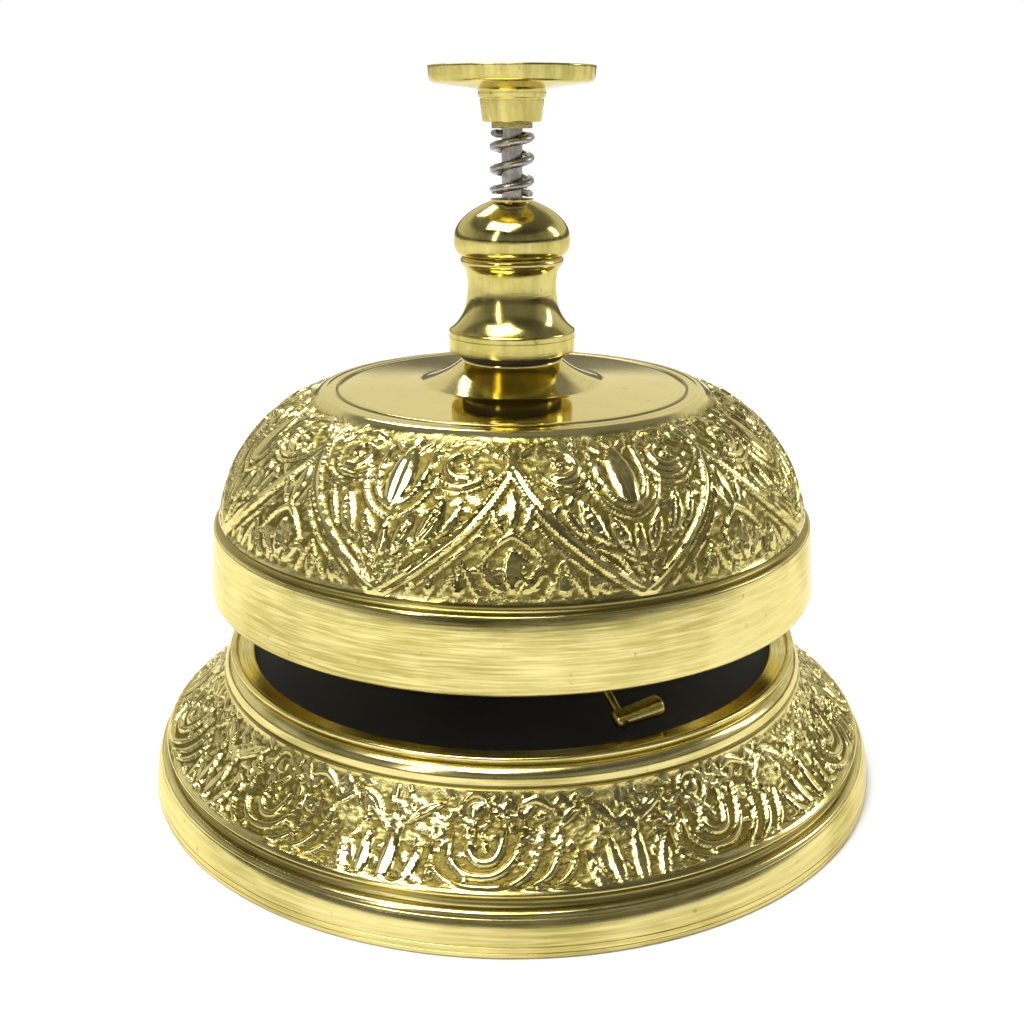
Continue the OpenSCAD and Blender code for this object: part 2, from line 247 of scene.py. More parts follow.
def blurred(heights, reach, rounds):
    """A box blur, wrapped round the ring."""
    for _ in range(rounds):
        around = sum(np.roll(heights, k, 1) for k in range(-reach, reach + 1)) / (2 * reach + 1)
        padded = np.pad(around, ((reach, reach), (0, 0)), "edge")
        rows = heights.shape[0]
        heights = sum(padded[k : k + rows] for k in range(2 * reach + 1)) / (2 * reach + 1)
    return heights


def slow_noise(random, rows, columns, cells=90):
    """Broad hand-made unevenness, from 0 to 1."""
    knots = random.random(cells)
    knots = np.append(knots, knots[0])
    round_it = np.interp(np.linspace(0, cells, columns), np.arange(cells + 1), knots)
    return round_it[None, :] * np.ones((rows, 1))


def leaf_section(share, t):
    """A pointed leaf: domed, with a cut vein down the middle and notched edges."""
    notches = 1 - 0.22 * (0.5 + 0.5 * np.cos(t * 38)) * share
    return np.sqrt(1 - share**2) * notches * (1 - 0.55 * np.exp(-((share / 0.16) ** 2)))


def channel_section(share, t):
    """A flat band with a hollow down the middle."""
    return np.clip((1 - share) / 0.28, 0, 1) ** 0.6 * (1 - 0.35 * np.exp(-((share / 0.34) ** 2)))


SECTIONS = {
    "round": lambda share, t: np.sqrt(1 - share**2),
    "channel": channel_section,
    "leaf": leaf_section,
    "petal": lambda share, t: np.sqrt(1 - share**2) * (1 - 0.3 * np.exp(-((share / 0.2) ** 2))),
}
TAPERS = {
    "leaf": lambda t: np.sin(math.pi * np.clip(t, 0.02, 0.98)) ** 0.75,
    "petal": lambda t: 0.25 + 0.75 * np.sin(math.pi * np.clip(0.15 + 0.8 * t, 0, 1)) ** 0.8,
    "tail": lambda t: 1 - 0.72 * t,
    "both": lambda t: 0.35 + 0.65 * np.sin(math.pi * t),
}


def spiral(centre, start_radius, end_radius, start, stop, radius_at, count=9):
    """Points of a scroll, in azimuth degrees and millimetres up."""
    turn = np.radians(np.linspace(start, stop, count))
    size = np.linspace(start_radius, end_radius, count)
    return [
        (centre[0] + math.degrees(s * math.cos(a) / radius_at), centre[1] + s * math.sin(a))
        for a, s in zip(turn, size)
    ]


def dome_relief(columns, rows):
    """Eight pointed arches with leaves inside them, and palmettes and scrolls between their tops."""
    radii = [p[0] for p in arc(DOME_CENTRE, DOME_R, DOME_FROM, DOME_TO, 40)]
    relief = Relief(ARCHES, columns, rows, DOME_LENGTH, radii, seed=11)
    side = relief.period / 2
    # The arch: a broad smooth band with a thin bead inside it.
    arch = [(0, 14.2), (3.4, 10.7), (7.8, 7.5), (13.6, 4.3), (18.5, 1.9), (side, 0.3)]
    relief.stroke(arch, 0.66, 0.44, "channel")
    relief.stroke([(2.2, 9.6), (7.0, 6.0), (12.0, 3.3), (16.2, 1.3)], 0.27, 0.24, "round", "both")
    # The hood over the apex, and its bud.
    relief.stroke([(0, 15.7), (1.4, 14.0), (3.6, 12.6), (6.6, 11.6)], 0.34, 0.34, "round", "tail")
    relief.stroke([(0, 15.3), (0, 18.3)], 0.9, 0.4, "leaf", "leaf", mirror=False)
    relief.stroke([(1.8, 15.6), (4.4, 17.6)], 0.65, 0.34, "leaf", "leaf")
    # Inside the arch, from the top down.
    relief.stroke([(0, 7.3), (0, 12.0)], 0.8, 0.4, "leaf", "leaf", mirror=False)
    relief.stroke([(1.5, 7.0), (3.0, 8.6), (3.3, 10.0)], 0.52, 0.34, "petal", "leaf")
    relief.stroke([(0, 7.0), (2.8, 5.8), (5.6, 3.8)], 0.44, 0.4, "round", "tail")
    relief.stroke([(0, 1.0), (0, 5.7)], 0.95, 0.38, "leaf", "leaf", mirror=False)
    relief.stroke([(1.1, 1.2), (3.6, 2.4), (4.9, 4.2)], 0.66, 0.34, "leaf", "leaf")
    relief.stroke([(5.2, 0.3), (6.7, 2.2), (8.3, 4.1)], 0.33, 0.32, "round", "both")
    relief.stroke([(8.3, 4.1), (10.2, 2.3), (12.2, 0.5)], 0.33, 0.32, "round", "both")
    relief.stroke([(8.7, 0.3), (8.6, 2.9)], 0.72, 0.34, "leaf", "leaf")
    relief.stroke([(13.8, 0.4), (13.0, 2.7)], 0.5, 0.3, "petal", "leaf")
    # Between the arches: the palmette's petal in its nested cups.
    relief.stroke([(side, 9.7), (side, 16.1)], 1.5, 0.5, "petal", "petal", mirror=False)
    relief.stroke([(16.9, 16.3), (17.6, 12.7), (19.4, 10.2), (side, 9.0)], 0.36, 0.36)
    relief.stroke([(14.6, 13.2), (15.8, 11.0), (18.6, 8.9), (side, 7.8)], 0.32, 0.33)
    relief.stroke([(side, 16.5), (side, 18.5)], 0.75, 0.36, "leaf", "leaf", mirror=False)
    relief.stroke([(20.0, 16.0), (18.2, 17.7)], 0.6, 0.34, "leaf", "leaf")
    # A thick scroll in a bowl on each side of the palmette.
    scroll_at = 28.5
    relief.stroke(spiral((10.3, 14.8), 1.95, 0.75, -110, 215, scroll_at, 12), 0.72, 0.48, "round", "tail")
    relief.boss(10.2, 14.6, 0.5, 0.36)
    relief.stroke(spiral((10.8, 14.9), 3.0, 3.0, 190, 335, scroll_at, 7), 0.36, 0.36, "round", "both")
    relief.stroke(spiral((10.8, 14.9), 3.8, 3.8, 205, 318, scroll_at, 7), 0.28, 0.3, "round", "both")
    relief.stroke([(6.0, 17.8), (10.4, 18.3), (14.8, 17.4)], 0.36, 0.32, "round", "both")
    # The fan of leaves under the palmette.
    relief.stroke([(side, 3.9), (side, 7.3)], 0.62, 0.4, "petal", "leaf", mirror=False)
    relief.stroke([(20.4, 4.3), (19.2, 6.4), (17.7, 8.4)], 0.78, 0.42, "leaf", "leaf")
    relief.stroke([(16.6, 5.5), (14.4, 7.5), (12.6, 10.4)], 1.0, 0.46, "leaf", "leaf")
    relief.stroke([(13.2, 6.0), (10.9, 7.9), (8.8, 10.3)], 0.5, 0.36, "petal", "leaf")
    relief.stroke([(side, 1.0), (21.2, 3.3), (19.2, 4.3)], 0.34, 0.33, "round", "tail")
    relief.stroke([(20.2, 1.9), (18.2, 4.0), (15.4, 5.0)], 0.3, 0.3, "round", "tail")
    relief.foliage(150, 0.4, 18.4, 1.5, 0.34, 0.24)
    return relief.ring(ground=0.06, rubbed=0.25)


def flare_relief(columns, rows, length, radii):
    """Ten swirling plumes, with fans of upright petals between them."""
    relief = Relief(PLUMES, columns, rows, length, radii, seed=23)
    # The plume: nested hooks that swirl the same way all round.
    hooks = (
        [(-1.2, 6.2), (-1.9, 4.5), (-0.5, 3.3), (1.7, 3.5), (2.9, 5.3), (3.4, 7.6)],
        [(-4.4, 6.0), (-4.6, 3.7), (-2.2, 1.9), (1.9, 1.9), (4.8, 3.9), (6.4, 7.3)],
        [(-7.3, 4.8), (-6.8, 2.4), (-3.4, 0.6), (2.6, 0.4), (6.9, 2.5), (9.3, 6.7)],
        [(6.0, 0.2), (9.6, 2.1), (11.9, 5.8)],
        [(9.4, 0.2), (12.2, 1.9), (14.0, 4.6)],
    )
    for step, hook in enumerate(hooks):
        relief.stroke(hook, 0.54 - 0.03 * step, 0.44, "round", "both", mirror=False)
    relief.boss(-1.3, 8.1, 0.85, 0.4, mirror=False)
    relief.stroke(spiral((-1.3, 8.0), 1.6, 1.6, -70, 215, 38.5, 9), 0.3, 0.32, mirror=False)
    # The fan of upright petals between two plumes.
    petals = ((-10.6, -8.9, 4.0, 0.7), (-13.6, -13.0, 5.3, 0.82), (-16.7, -17.2, 5.0, 0.78))
    for foot, tip, top, width in petals:
        relief.stroke([(foot, 0.2), (tip, top)], width, 0.42, "petal", "petal", mirror=False)
    relief.stroke([(-19.6, 0.2), (-21.0, 3.8)], 0.6, 0.38, "petal", "petal", mirror=False)
    relief.stroke([(-12.2, 6.3), (-9.6, 7.7), (-6.2, 8.7)], 0.66, 0.38, "leaf", "leaf", mirror=False)
    relief.stroke([(-15.6, 6.2), (-17.6, 7.8), (-20.8, 8.9)], 0.66, 0.38, "leaf", "leaf", mirror=False)
    relief.stroke([(5.4, 8.6), (8.2, 9.2), (11.2, 8.2)], 0.4, 0.32, "round", "both", mirror=False)
    relief.stroke([(11.6, 6.6), (13.6, 7.9), (15.4, 8.2)], 0.55, 0.36, "leaf", "leaf", mirror=False)
    relief.foliage(90, 5.6, 9.6, 1.7, 0.40, 0.30)
    relief.foliage(50, 0.4, 6.0, 1.4, 0.36, 0.28)
    return relief.ring(ground=0.055, rubbed=0.25)


# ---------------------------------------------------------------- meshes


def mesh_object(name, vertices, faces, sharp=35):
    """A smooth-shaded object from vertices in millimetres."""
    mesh = bpy.data.meshes.new(name)
    mesh.from_pydata((np.array([tuple(v) for v in vertices]) * MM).tolist(), [], faces)
    mesh.validate()
    mesh.shade_smooth()
    mesh.set_sharp_from_angle(angle=math.radians(sharp))
    made = bpy.data.objects.new(name, mesh)
    bpy.context.scene.collection.objects.link(made)
    return made


class Lathe:
    """A closed turned solid. Rows of points go round +Z; neighbouring rows may differ in count by a whole
    ratio, so that only the embossed stretch is dense. A row of radius zero is one point."""

    def __init__(self):
        self.vertices, self.rows = [], []
        self.openness, self.ground, self.polish = [], [], []

    def row(self, radius, z, count, open_to=0.5, ground=0.0, polish=0.0):
        """radius, z, open_to and ground are numbers or one value per point."""
        start = len(self.vertices)
        if np.ndim(radius) == 0 and radius < 1e-6:
            self.vertices.append((0, 0, float(z)))
            self.rows.append([start])
            self.openness.append(0.5)
            self.ground.append(0.0)
            self.polish.append(polish)
            return
        azimuth = np.radians((np.arange(count) + 0.5) / count * 360)
        radius, z, open_to, ground = (np.broadcast_to(v, count) for v in (radius, z, open_to, ground))
        self.vertices += list(zip(radius * np.sin(azimuth), -radius * np.cos(azimuth), z))
        self.rows.append(list(range(start, start + count)))
        self.openness += open_to.tolist()
        self.ground += ground.tolist()
        self.polish += [polish] * count

    def outline(self, points, count, open_to=0.5, polish=0.0):
        for radius, z in points:
            self.row(radius, z, count, open_to, polish=polish)

    def _join(self, a, b):
        """Faces between two rows, a before b along the outline."""
        if len(a) == 1 or len(b) == 1:
            tip, edge, flip = (a[0], b, False) if len(a) == 1 else (b[0], a, True)
            count = len(edge)
            fan = [(tip, edge[i], edge[(i + 1) % count]) for i in range(count)]
            return [tuple(reversed(f)) for f in fan] if flip else fan
        few, many, flip = (a, b, False) if len(a) <= len(b) else (b, a, True)
        ratio = len(many) // len(few)
        faces = []
        for i in range(len(few)):
            low = [few[i], few[(i + 1) % len(few)]]
            high = [many[(i * ratio + k) % len(many)] for k in range(ratio, -1, -1)]
            face = tuple(low + high)
            faces.append(tuple(reversed(face)) if flip else face)
        return faces

    def make(self, name, closed=True, sharp=35):
        faces = []
        pairs = list(zip(self.rows, self.rows[1:]))
        if closed and len(self.rows[0]) > 1:
            pairs.append((self.rows[-1], self.rows[0]))
        for a, b in pairs:
            faces += self._join(a, b)
        made = mesh_object(name, self.vertices, faces, sharp)
        layers = (("openness", self.openness), ("ground", self.ground), ("polish", self.polish))
        for layer, values in layers:
            attribute = made.data.attributes.new(layer, "FLOAT", "POINT")
            attribute.data.foreach_set("value", np.array(values, np.float32))
        return made


def emboss(lathe, points, heights, openness, ground, outward):
    """Rows along the points, pushed outward by the heights."""
    for point, normal, lift, open_to, stippled in zip(points, outward, heights, openness, ground):
        lathe.row(point[0] + normal[0] * lift, point[1] + normal[1] * lift, len(lift), open_to, stippled)


def normals_of(points):
    """Unit normals on the right-hand side of a run of points."""
    d = np.gradient(np.array(points), axis=0)
    n = np.column_stack([d[:, 1], -d[:, 0]])
    return n / np.linalg.norm(n, axis=1)[:, None]


GROOVE_SHADE = 0.2  # openness given to a groove, which paints shade into it
SUNK = 0.3  # how far the relief's ground lies below the plain outline
DENSE_PER_ARCH = 100  # points round one arch of the dome
DOME_ROWS = 98
DENSE_PER_PLUME = 100  # points round one plume of the flare
FLARE_ROWS = 76
FIRST_PLUME = 4  # degrees that the plumes are turned from the front
COARSE = 200  # points round a plain stretch


def bell_cup():
    rim, top = CUP_RIM_Z, CUP_TOP_Z
    band_top, dome_start = rim + 8.3, rim + 9.3
    plateau, boss_foot = rim + 23.5, rim + 24.2
    ceiling = rim + 20.9
    inner_r = 33.65
    lathe = Lathe()
    lathe.outline(
        curve((inner_r, rim + 0.5), (inner_r, rim), (inner_r + 0.5, rim), 4)
        + curve((CUP_R - 0.7, rim), (CUP_R, rim), (CUP_R, rim + 0.7), 8)
        + [(CUP_R - 0.02, rim + 1.1), (CUP_R - 0.33, rim + 4.6), (36.02, band_top - 0.25)]
        + curve((36.0, band_top - 0.2), (35.98, band_top), (35.8, band_top + 0.02), 4),
        COARSE,
    )
    lathe.outline(
        curve((35.7, band_top + 0.05), (35.1, band_top + 0.1), (35.05, band_top + 0.45), 5)
        + curve((35.05, band_top + 0.6), (35.1, dome_start - 0.15), (35.22, dome_start - 0.02), 4),
        COARSE,
        GROOVE_SHADE,
    )
    points = arc(DOME_CENTRE, DOME_R, DOME_FROM, DOME_TO, DOME_ROWS)
    heights, openness, ground = dome_relief(DENSE_PER_ARCH, DOME_ROWS)
    sunk = heights - SUNK * edge_fade(np.linspace(0, DOME_LENGTH, DOME_ROWS), DOME_LENGTH)[:, None]
    emboss(lathe, points, sunk, openness, ground, normals_of(points))
    lathe.outline(
        curve((23.3, plateau - 0.38), (22.9, plateau - 0.02), (22.4, plateau - 0.02), 5)
        + [(22.2, plateau - 0.06), (22.05, plateau), (20.98, plateau + 0.03)],
        COARSE,
        polish=0.7,
    )
    lathe.outline(curve((20.92, plateau), (20.8, plateau - 0.2), (20.68, plateau), 4), COARSE, GROOVE_SHADE, 0.7)
    lathe.outline(
        curve((20.6, plateau + 0.04), (15, plateau + 0.3), (10.8, boss_foot - 0.2), 16)
        + [(10.6, boss_foot - 0.13)],
        COARSE,
        polish=1.0,
    )
    lathe.outline(
        curve((10.4, boss_foot - 0.06), (7.4, boss_foot + 0.95), (6.0, top - 0.3), 16)
        + curve((6.0, top - 0.25), (5.98, top), (5.7, top), 4),
        COARSE,
        polish=0.6,
    )
    lathe.outline(
        [(POST_BORE_R, top), (POST_BORE_R, ceiling)]
        + arc((DOME_CENTRE[0], ceiling - (inner_r - DOME_CENTRE[0])), inner_r - DOME_CENTRE[0], 90, 0, 22),
        COARSE,
    )
    return lathe.make("bell_cup_cast")


def edge_fade(distance, length):
    """1 in the middle of a strip and 0 at both its edges."""
    return np.clip(np.minimum(distance, length - distance) / 0.6, 0, 1)


def base_ring():
    r, top = BASE_R, BASE_H
    ledge, plate_bottom = top - 0.6, PLATE_LOW[2]
    cove = r - 2
    flare_top = (36.0, top - 3.2)
    ledge_r, shelf_r, shelf_depth = 32.25, 27.5, 2
    lathe = Lathe()
    lathe.outline(
        [(r - 3.5, 0)]
        + curve((r - 0.4, 0), (r - 0.02, 0), (r, 0.4), 6)
        + [(r - 0.01, 0.62), (r - 0.13, 0.68), (r - 0.02, 0.74)]
        + [(r - 0.04, 1.3), (r - 0.16, 1.36), (r - 0.06, 1.42)]
        + curve((r - 0.08, 1.6), (r - 0.24, 3.0), (r - 0.72, 4.0), 12)
        + [(r - 0.84, 4.06), (r - 0.76, 4.14)]
        + curve((r - 0.82, 4.3), (r - 0.95, 4.62), (r - 1.25, 4.66), 4),
        COARSE,
    )
    lathe.outline(curve((cove + 0.2, 4.7), (cove - 0.3, 5.1), (cove + 0.1, 5.75), 8), COARSE, GROOVE_SHADE)
    lathe.outline(curve((cove + 0.3, 5.8), (cove + 0.5, 6.0), (cove + 0.15, 6.25), 6), COARSE)
    points = curve((cove, 6.4), (39.4, 8.6), flare_top, FLARE_ROWS)
    distance = along(points)
    radii = [p[0] for p in points]
    heights, openness, ground = flare_relief(DENSE_PER_PLUME, FLARE_ROWS, distance[-1], radii)
    sunk = heights - SUNK * edge_fade(distance, distance[-1])[:, None]
    turned_by = -DENSE_PER_PLUME * FIRST_PLUME // (360 // PLUMES)
    sunk, openness, ground = (np.roll(layer, turned_by, 1) for layer in (sunk, openness, ground))
    emboss(lathe, points, sunk, openness, ground, normals_of(points))
    lathe.outline(curve((35.75, top - 3.1), (35.45, top - 2.95), (35.75, top - 2.8), 4), COARSE, GROOVE_SHADE)
    lathe.outline(curve((35.85, top - 2.7), (35.9, top - 1.5), (34.9, top - 1.05), 12), COARSE)
    lathe.outline(curve((34.75, top - 1.0), (34.5, top - 0.9), (34.75, top - 0.8), 4), COARSE, GROOVE_SHADE)
    lathe.outline(
        curve((34.95, top - 0.72), (35.3, top - 0.05), (34.7, top), 8)
        + curve((34.5, top), (34.2, top - 0.1), (34.1, ledge), 5)
        + [(32.4, ledge), (ledge_r, ledge - 0.12), (ledge_r, plate_bottom), (shelf_r, plate_bottom)]
        + [(shelf_r, plate_bottom - shelf_depth), (33, plate_bottom - shelf_depth)]
        + curve((33.2, plate_bottom - 2.05), (37.5, 7.2), (r - 4.5, 3), 8),
        COARSE,
    )
    return lathe.make("base_cast")


def finial():
    """A turned baluster: collar, flared waist, bead and ball."""
    low, high = FINIAL_LOW[2], FINIAL_HIGH[2]
    collar, waist, ball, neck = FINIAL_HIGH[0], 5.2, 6.75, 2.5
    bore, rod_bore = 3.02, ROD_R + 0.06
    lathe = Lathe()
    lathe.outline(
        [(bore, low)]
        + curve((collar - 0.22, low), (collar, low), (collar, low + 0.22), 5)
        + [(collar, low + 1.7)]
        + curve((collar, low + 1.74), (collar - 0.14, low + 1.8), (collar, low + 1.86), 4)
        + [(collar, low + 2.2)]
        + curve((collar, low + 2.35), (collar, low + 2.5), (collar - 0.25, low + 2.65), 5)
        + [(collar - 0.5, low + 2.85)]
        + curve((collar - 0.6, low + 2.95), (waist + 0.1, low + 4.4), (waist, low + 7.4), 24)
        + curve((waist, low + 7.6), (waist, low + 9.2), (waist + 0.5, low + 9.9), 10)
        + curve((waist + 0.62, low + 9.95), (waist + 1.05, low + 10.4), (waist + 0.7, low + 10.8), 10)
        + [(waist + 0.5, low + 10.92)]
        + curve((waist + 0.7, low + 11.05), (ball, low + 11.4), (ball, low + 12.8), 12)
        + curve((ball, low + 12.95), (ball - 0.02, low + 15.4), (neck + 0.3, high - 0.35), 26)
        + [(neck, high - 0.25), (neck, high - 0.1)]
        + curve((neck, high - 0.04), (neck, high), (neck - 0.1, high), 3)
        + [(rod_bore, high), (rod_bore, low + 9), (bore, low + 9)],
        192,
    )
    return lathe.make("finial_turned")


def knob():
    """A dished disc on a stepped hub, with a blind bore for the rod."""
    low, top, r = KNOB_LOW[2], KNOB_HIGH[2] - 0.1, KNOB_HIGH[0]
    bore, bore_top = ROD_R + 0.02, KNOB_LOW[2] + 2.9
    lathe = Lathe()
    lathe.row(0, bore_top, 1)
    lathe.outline(
        [(bore, bore_top), (bore, low + 0.02), (2.9, low)]
        + curve((3.15, low), (3.32, low), (3.34, low + 0.15), 4)
        + [(3.4, low + 0.6), (3.6, low + 2.42)]
        + curve((3.6, low + 2.5), (3.6, low + 2.58), (3.74, low + 2.62), 4)
        + [(3.8, low + 2.8), (3.82, low + 3.15)]
        + curve((3.82, low + 3.35), (3.9, low + 3.55), (4.3, low + 3.6), 5)
        + [(6.4, low + 3.86)]
        + curve((8.5, low + 4.12), (9.1, low + 4.2), (9.22, low + 4.5), 7)
        + [(9.3, low + 4.9), (r - 0.02, top - 0.3)]
        + curve((r, top - 0.15), (r, top), (r - 0.22, top), 5)
        + curve((r - 0.5, top), (4, top - 0.12), (0, top - 0.15), 10)[:-1],
        192,
    )
    lathe.row(0, top - 0.15, 1)
    return lathe.make("knob_turned", closed=False)


def upper_washer():
    low, high, r = WASHER_LOW[2], WASHER_HIGH[2], WASHER_HIGH[0]
    lathe = Lathe()
    lathe.outline(
        [(3.02, low)]
        + curve((r - 0.2, low), (r, low), (r, low + 0.2), 4)
        + curve((r, high - 0.2), (r, high), (r - 0.2, high), 4)
        + [(3.02, high)],
        128,
    )
    return lathe.make("upper_washer_fibre")


def coil_spring():
    """Round wire with flat end turns, ground where it bears."""
    wire = 0.475  # radius
    middle = 2.1  # radius of the coil at the wire's middle
    turns, end = 3.5, 0.5  # all turns, and the flat part at each end
    low, high = SPRING_LOW[2] + wire, SPRING_HIGH[2] - wire
    per_turn, sides = 56, 14
    count = int(turns * per_turn)
    pitch_end = 2 * wire * end
    vertices, faces = [], []
    for i in range(count + 1):
        t = i / per_turn
        body = min(max(t - end, 0), turns - 2 * end) / (turns - 2 * end)
        ease = body * body * (3 - 2 * body) * 0.25 + body * 0.75
        z = low + 2 * wire * (min(t, end) + max(0, t - turns + end)) + (high - low - 2 * pitch_end) * ease
        angle = math.radians(360 * t)
        shrink = 1 - 0.35 * max(0, 1 - min(i, count - i) / 5)
        for k in range(sides):
            b = 2 * math.pi * k / sides
            radius = middle + wire * shrink * math.cos(b)
            lift = wire * shrink * math.sin(b)
            vertices.append((radius * math.cos(angle), radius * math.sin(angle), z + lift))
    for i in range(count):
        for k in range(sides):
            n = (k + 1) % sides
            faces.append((i * sides + k, i * sides + n, (i + 1) * sides + n, (i + 1) * sides + k))
    faces.append(tuple(range(sides - 1, -1, -1)))
    faces.append(tuple(count * sides + k for k in range(sides)))
    return mesh_object("plunger_spring_coil", vertices, faces, 60)


HAMMER_AZIMUTH, PIVOT, REST_TILT, ARM_LENGTH = -67.5, (10.5, 0, 25.5), 22, 21.6
HEAD_LENGTH, HEAD_SKEW = 6.2, 8
SOCKET_END, SOCKET_R, WIRE_R = 7.6, 0.58, 0.44


def lever_frame():
    """The lever's own frame at rest: x runs out along the hammer."""
    turn = Matrix.Rotation(math.radians(HAMMER_AZIMUTH), 4, "Z")
    return turn @ Matrix.Translation(PIVOT) @ Matrix.Rotation(math.radians(REST_TILT), 4, "Y")


def loft(name, sections, place):
    """A closed solid through oval sections (centre, half width, half height) that face along y."""
    sides = 40
    vertices, faces = [], []
    for centre, wide, high in sections:
        for k in range(sides):
            a = 2 * math.pi * k / sides
            point = Vector(centre) + Vector((wide * math.cos(a), 0, high * math.sin(a)))
            vertices.append(place @ point)
    for i in range(len(sections) - 1):
        for k in range(sides):
            n = (k + 1) % sides
            faces.append((i * sides + k, (i + 1) * sides + k, (i + 1) * sides + n, i * sides + n))
    faces.append(tuple(range(sides)))
    faces.append(tuple(range(len(vertices) - 1, len(vertices) - sides - 1, -1)))
    return mesh_object(name, vertices, faces, 50)


def hammer_head():
    """A short bar across the arm's end: narrow where the arm passes through it, blunt at the free end."""
    skew = Matrix.Rotation(math.radians(HEAD_SKEW), 4, "Z")
    place = lever_frame() @ Matrix.Translation((ARM_LENGTH, -1, 0)) @ skew
    sections = []
    for step in np.linspace(0, 1, 36):
        y = HEAD_LENGTH * step
        start_round = math.sqrt(1 - (1 - min(step / 0.05, 1)) ** 2 * 0.8)
        end_round = math.sqrt(max(0.12, 1 - max(0, (step - 0.88) / 0.12) ** 2))
        wide = (0.95 + 0.3 * step) * start_round * end_round
        high = (0.74 + 0.5 * step**1.3) * start_round * end_round
        sections.append(((0, y, 0), wide, high))
    return loft("hammer_head_bar", sections, place)


def hammer_arm():
    """Thin brass wire from the lever's socket through the head, with a peened end."""
    place = lever_frame() @ Matrix.Rotation(math.radians(90), 4, "Z").inverted()
    start, end = 2.5, ARM_LENGTH + 0.95
    sections = []
    for step in np.linspace(0, 1, 40):
        along_arm = start + (end - start) * step
        thin = SOCKET_R if along_arm < SOCKET_END else WIRE_R
        peened = 1 + 0.25 * max(0, (along_arm - end + 0.5) / 0.5)
        sections.append(((0, along_arm, 0), thin * peened, thin * peened))
    return loft("hammer_arm_wire", sections, place)


# ---------------------------------------------------------------- materials


RANGE_SOCKETS = ("From Min", "From Max", "To Min", "To Max")


class Shader:
    """A small helper round one material's node tree."""

    def __init__(self, name):
        self.material = bpy.data.materials.new(name)
        self.material.use_nodes = True
        self.tree = self.material.node_tree
        self.surface = self.tree.nodes["Principled BSDF"]
        self.coords = self.tree.nodes.new("ShaderNodeTexCoord").outputs["Object"]

    def node(self, kind, **settings):
        made = self.tree.nodes.new(kind)
        for key, value in settings.items():
            setattr(made, key, value)
        return made

    def attribute(self, layer):
        """A value that the mesh carries at its points."""
        return self.node("ShaderNodeAttribute", attribute_name=layer).outputs["Fac"]

    def link(self, source, target):
        self.tree.links.new(source, target)

    def value(self, socket, number):
        self.surface.inputs[socket].default_value = number

    def noise(self, vector, scale, detail=4, rough=0.55):
        made = self.node("ShaderNodeTexNoise")
        made.inputs["Scale"].default_value = scale
        made.inputs["Detail"].default_value = detail
        made.inputs["Roughness"].default_value = rough
        self.link(vector, made.inputs["Vector"])
        return made.outputs["Fac"]

    def math(self, operation, a, b=None, clamp=False):
        made = self.node("ShaderNodeMath", operation=operation, use_clamp=clamp)
        for socket, value in zip(made.inputs, (a, b)):
            if value is None:
                continue
            if isinstance(value, (int, float)):
                socket.default_value = value
            else:
                self.link(value, socket)
        return made.outputs[0]

    def spread(self, source, low, high, to_low=0.0, to_high=1.0):
        """Maps low..high to to_low..to_high, clamped."""
        made = self.node("ShaderNodeMapRange", clamp=True)
        self.link(source, made.inputs["Value"])
        for socket, value in zip(RANGE_SOCKETS, (low, high, to_low, to_high)):
            made.inputs[socket].default_value = value
        return made.outputs["Result"]

    def mix(self, share, a, b):
        """A colour mix. a and b are colours or sockets."""
        made = self.node("ShaderNodeMix", data_type="RGBA")
        self.link(share, made.inputs["Factor"])
        for socket, value in zip((made.inputs[6], made.inputs[7]), (a, b)):
            if isinstance(value, tuple):
                socket.default_value = (*value, 1)
            else:
                self.link(value, socket)
        return made.outputs[2]

    def turned(self, fine, sweep=2.0):
        """Coordinates that run round +Z, so that noise on them draws lathe lines."""
        split = self.node("ShaderNodeSeparateXYZ")
        self.link(self.coords, split.inputs[0])
        flat = self.node("ShaderNodeCombineXYZ")
        self.link(split.outputs[0], flat.inputs[0])
        self.link(split.outputs[1], flat.inputs[1])
        length = self.node("ShaderNodeVectorMath", operation="LENGTH")
        self.link(flat.outputs[0], length.inputs[0])
        unit = self.node("ShaderNodeVectorMath", operation="NORMALIZE")
        self.link(flat.outputs[0], unit.inputs[0])
        round_it = self.node("ShaderNodeVectorMath", operation="SCALE")
        self.link(unit.outputs[0], round_it.inputs[0])
        round_it.inputs["Scale"].default_value = sweep
        across = self.math("MULTIPLY", self.math("ADD", length.outputs["Value"], split.outputs[2]), fine)
        lines = self.node("ShaderNodeVectorMath", operation="ADD")
        self.link(round_it.outputs[0], lines.inputs[0])
        upright = self.node("ShaderNodeCombineXYZ")
        self.link(across, upright.inputs[2])
        self.link(upright.outputs[0], lines.inputs[1])
        return lines.outputs[0]

    def stretched(self, share):
        """Coordinates that change slowly along Z, so that noise on them draws upright runs."""
        scale = self.node("ShaderNodeVectorMath", operation="MULTIPLY")
        self.link(self.coords, scale.inputs[0])
        scale.inputs[1].default_value = (1, 1, share)
        return scale.outputs[0]

    def bump(self, height, distance_mm, strength=1.0, below=None):
        made = self.node("ShaderNodeBump")
        made.inputs["Distance"].default_value = distance_mm * MM
        made.inputs["Strength"].default_value = strength
        self.link(height, made.inputs["Height"])
        if below is not None:
            self.link(below, made.inputs["Normal"])
        return made.outputs["Normal"]


BRASS = (0.79, 0.683, 0.295)
BRASS_EDGE = (0.94, 0.88, 0.66)
BRASS_DEEP = (0.53, 0.45, 0.145)
BRASS_OLIVE = (0.27, 0.228, 0.045)
# Painted shade in the recesses of the cast brass, and the colour of specks and flaws.
BRASS_SHADE_AND_FLAW = (0.17, 0.135, 0.032)


